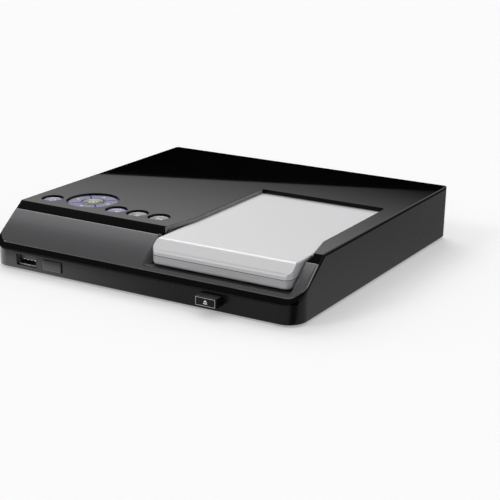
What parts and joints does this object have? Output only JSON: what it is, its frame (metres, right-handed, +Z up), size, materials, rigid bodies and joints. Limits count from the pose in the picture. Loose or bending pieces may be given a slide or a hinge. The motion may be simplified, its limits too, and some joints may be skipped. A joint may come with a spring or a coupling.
{
  "type": "media player",
  "caption": "Low wide media player with a sloped front, round keys on its glossy lid, an open bay that holds a portable drive, and a push button that ejects the drive.",
  "frame": {"origin": "centre of the bounding box in X and Y, at the height of the surface the feet stand on", "axes": "+X to the player's right seen from its front, +Y from its front to its back, +Z up"},
  "size_m": [0.193, 0.1976, 0.0315],
  "materials": {
    "lid_gloss": "mirror gloss black",
    "panel_grey": "smooth grey, semi-gloss",
    "housing_satin": "satin dark grey",
    "liner_black": "matt black",
    "key_silver": "silvery, softly glossy",
    "key_round": "silvery, softly glossy",
    "window_dark": "dark glossy filter",
    "button_grey": "satin grey",
    "drive_silver": "fine satin",
    "drive_lower": "fine satin",
    "disk_case": "cast, matt",
    "steel": "plated",
    "spring_steel": "bright wire",
    "contact_gold": "gold plated",
    "acetal_white": "smooth, waxy",
    "connector_black": "matt black",
    "board_green": "solder mask",
    "chip_black": "moulded, matt",
    "sink_black": "anodised",
    "rubber": "matt"
  },
  "bodies": {
    "housing": {"top_shell": "lid_gloss", "front_panel": "panel_grey", "lower_housing": "housing_satin", "bay_liner": "liner_black", "dock_connector": "connector_black", "button_board": "board_green", "button_switches": "steel", "usb_port_shell": "steel", "usb_port_tongue": "connector_black", "usb_port_contacts": "contact_gold", "ir_window": "window_dark", "ir_receiver": "chip_black", "front_board": "board_green", "rocker_pin": "steel", "eject_spring": "spring_steel", "main_board": "board_green", "processor": "chip_black", "heat_sink": "sink_black", "memory_chips": "chip_black", "capacitors": "chip_black", "power_jack": "connector_black", "hdmi_port": "steel", "optical_port": "connector_black", "network_port": "connector_black", "av_block": "connector_black", "av_jacks": "steel", "rubber_feet": "rubber", "case_screws": "steel"},
    "ejector_sled": {"ejector_sled": "acetal_white"},
    "eject_rocker": {"eject_rocker": "steel"},
    "eject_button": {"eject_button": "button_grey"},
    "drive": {"drive_top_cover": "drive_silver", "drive_bottom_shell": "drive_lower", "drive_disk_unit": "disk_case", "drive_socket": "steel"},
    "power_key": {"power_key": "key_round"},
    "nav_up_key": {"nav_up_key": "key_silver"},
    "nav_down_key": {"nav_down_key": "key_silver"},
    "nav_left_key": {"nav_left_key": "key_silver"},
    "nav_right_key": {"nav_right_key": "key_silver"},
    "ok_key": {"ok_key": "key_silver"},
    "back_key": {"back_key": "key_round"},
    "menu_key": {"menu_key": "key_round"},
    "play_key": {"play_key": "key_round"}
  },
  "joints": [
    {"name": "sled_slide", "type": "slide", "parent": "housing", "child": "ejector_sled", "axis": [0, -1, 0], "range_m": [0, 0.013]},
    {"name": "rocker_pivot", "type": "hinge", "parent": "housing", "child": "eject_rocker", "pos_m": [0.0559, -0.0474, 0.0101], "axis": [0, 0, -1], "range_deg": [0, 37.96]},
    {"name": "eject_button_slide", "type": "slide", "parent": "housing", "child": "eject_button", "axis": [0, 1, 0], "range_m": [0, 0.0055], "stiffness_N_per_m": 150, "springref_m": -0.002, "deforming": ["eject_spring"]},
    {"name": "drive_slide", "type": "slide", "parent": "ejector_sled", "child": "drive", "axis": [0, -1, 0], "range_m": [0, 0.125]},
    {"name": "power_press", "type": "slide", "parent": "housing", "child": "power_key", "axis": [0, 0, -1], "range_m": [0, 0.0007], "stiffness_N_per_m": 400, "springref_m": -0.0003},
    {"name": "nav_up_press", "type": "slide", "parent": "housing", "child": "nav_up_key", "axis": [0, 0, -1], "range_m": [0, 0.0007], "stiffness_N_per_m": 400, "springref_m": -0.0003},
    {"name": "nav_down_press", "type": "slide", "parent": "housing", "child": "nav_down_key", "axis": [0, 0, -1], "range_m": [0, 0.0007], "stiffness_N_per_m": 400, "springref_m": -0.0003},
    {"name": "nav_left_press", "type": "slide", "parent": "housing", "child": "nav_left_key", "axis": [0, 0, -1], "range_m": [0, 0.0007], "stiffness_N_per_m": 400, "springref_m": -0.0003},
    {"name": "nav_right_press", "type": "slide", "parent": "housing", "child": "nav_right_key", "axis": [0, 0, -1], "range_m": [0, 0.0007], "stiffness_N_per_m": 400, "springref_m": -0.0003},
    {"name": "ok_press", "type": "slide", "parent": "housing", "child": "ok_key", "axis": [0, 0, -1], "range_m": [0, 0.0007], "stiffness_N_per_m": 400, "springref_m": -0.0003},
    {"name": "back_press", "type": "slide", "parent": "housing", "child": "back_key", "axis": [0, 0, -1], "range_m": [0, 0.0007], "stiffness_N_per_m": 400, "springref_m": -0.0003},
    {"name": "menu_press", "type": "slide", "parent": "housing", "child": "menu_key", "axis": [0, 0, -1], "range_m": [0, 0.0007], "stiffness_N_per_m": 400, "springref_m": -0.0003},
    {"name": "play_press", "type": "slide", "parent": "housing", "child": "play_key", "axis": [0, 0, -1], "range_m": [0, 0.0007], "stiffness_N_per_m": 400, "springref_m": -0.0003}
  ],
  "couplings": [
    {"joint": "eject_button_slide", "follows": "sled_slide", "ratio": 0.42297},
    {"joint": "rocker_pivot", "follows": "sled_slide", "rad_per_m": 50.925}
  ]
}
